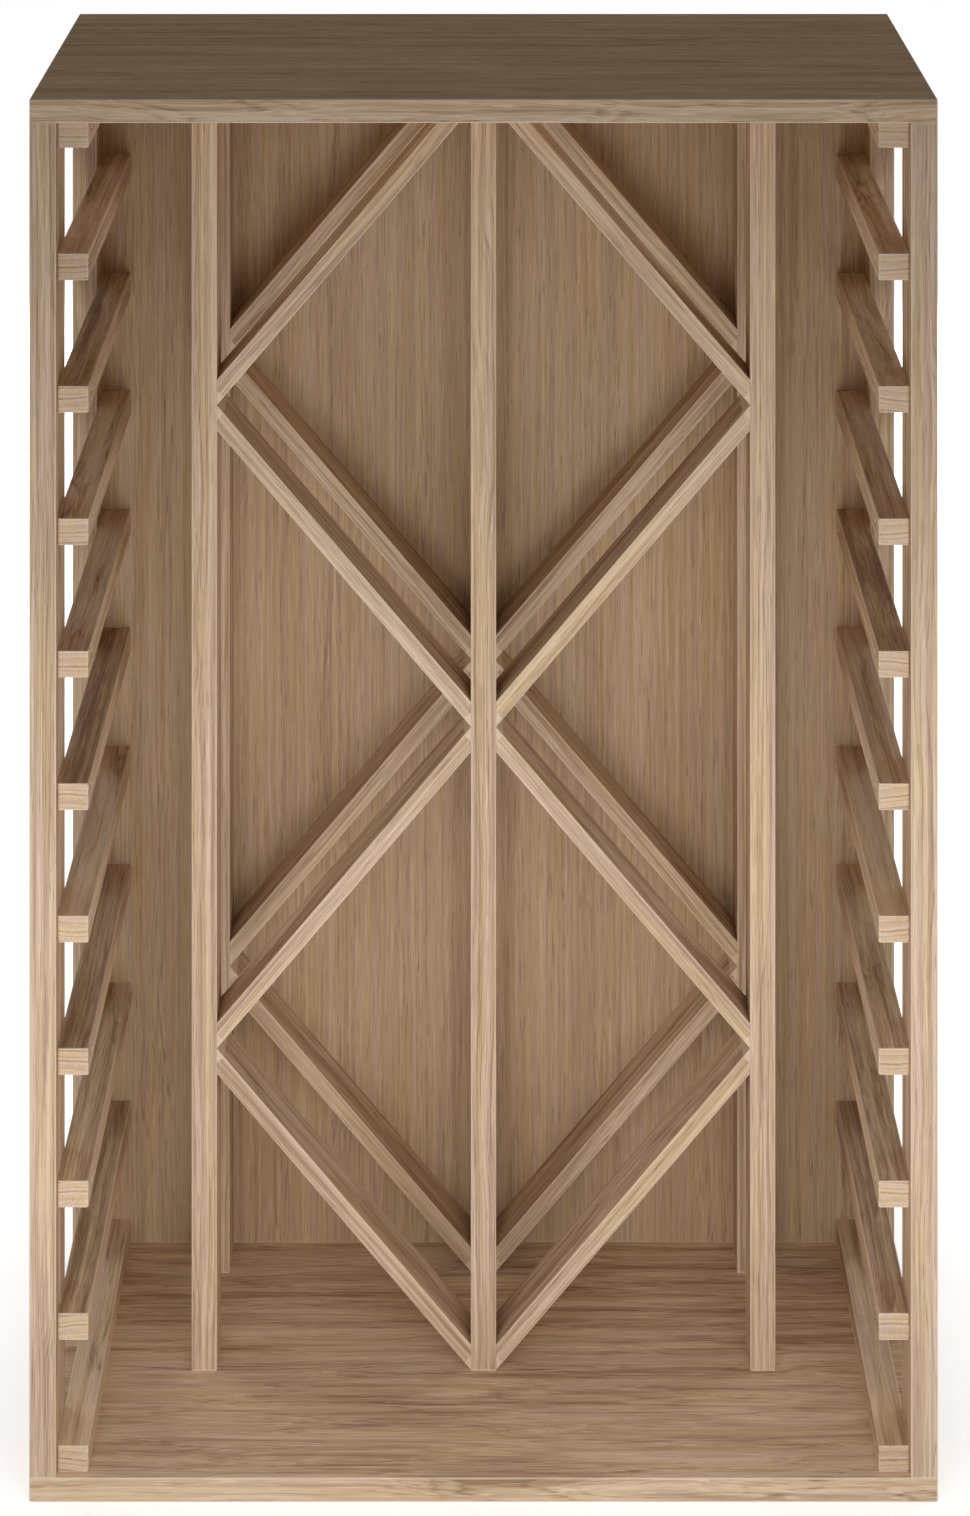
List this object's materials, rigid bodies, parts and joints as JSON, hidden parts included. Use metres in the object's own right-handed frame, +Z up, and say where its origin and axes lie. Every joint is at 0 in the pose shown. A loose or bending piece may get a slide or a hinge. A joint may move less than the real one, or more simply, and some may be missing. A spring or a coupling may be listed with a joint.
{
  "type": "wine rack",
  "caption": "Free-standing oak rack: top and base boards on posts, side columns of rungs, and a bay of crossed slats that hold bottles lying down.",
  "frame": {"origin": "on the floor, under the middle of the base board", "axes": "+Z up, +X to the right seen from the front, +Y towards the back panel, so the front faces -Y"},
  "size_m": [0.68, 0.32, 1.05],
  "materials": {
    "oak": "light oak, matt oiled",
    "oak_panel": "light oak veneer, matt",
    "beech_dowel": "plain beech",
    "zinc_screw": "zinc plated",
    "steel_nail": "bright drawn wire"
  },
  "bodies": {
    "root": {"top_board": "oak", "base_board": "oak", "centre_front_post": "oak", "centre_rear_post": "oak", "left_front_post": "oak", "left_rear_post": "oak", "left_divider_front_post": "oak", "left_divider_rear_post": "oak", "left_rung_01": "oak", "left_rung_02": "oak", "left_rung_03": "oak", "left_rung_04": "oak", "left_rung_05": "oak", "left_rung_06": "oak", "left_rung_07": "oak", "left_rung_08": "oak", "left_rung_09": "oak", "left_rung_10": "oak", "left_rung_11": "oak", "left_front_slat_1": "oak", "left_front_slat_2": "oak", "left_front_slat_3": "oak", "left_front_slat_4": "oak", "left_rear_slat_1": "oak", "left_rear_slat_2": "oak", "left_rear_slat_3": "oak", "left_rear_slat_4": "oak", "right_front_post": "oak", "right_rear_post": "oak", "right_divider_front_post": "oak", "right_divider_rear_post": "oak", "right_rung_01": "oak", "right_rung_02": "oak", "right_rung_03": "oak", "right_rung_04": "oak", "right_rung_05": "oak", "right_rung_06": "oak", "right_rung_07": "oak", "right_rung_08": "oak", "right_rung_09": "oak", "right_rung_10": "oak", "right_rung_11": "oak", "right_front_slat_1": "oak", "right_front_slat_2": "oak", "right_front_slat_3": "oak", "right_front_slat_4": "oak", "right_rear_slat_1": "oak", "right_rear_slat_2": "oak", "right_rear_slat_3": "oak", "right_rear_slat_4": "oak", "back_panel": "oak_panel", "top_dowels": "beech_dowel", "base_screws": "zinc_screw", "left_rung_screws": "zinc_screw", "right_rung_screws": "zinc_screw", "slat_brads": "steel_nail", "back_panel_pins": "steel_nail"}
  },
  "joints": []
}
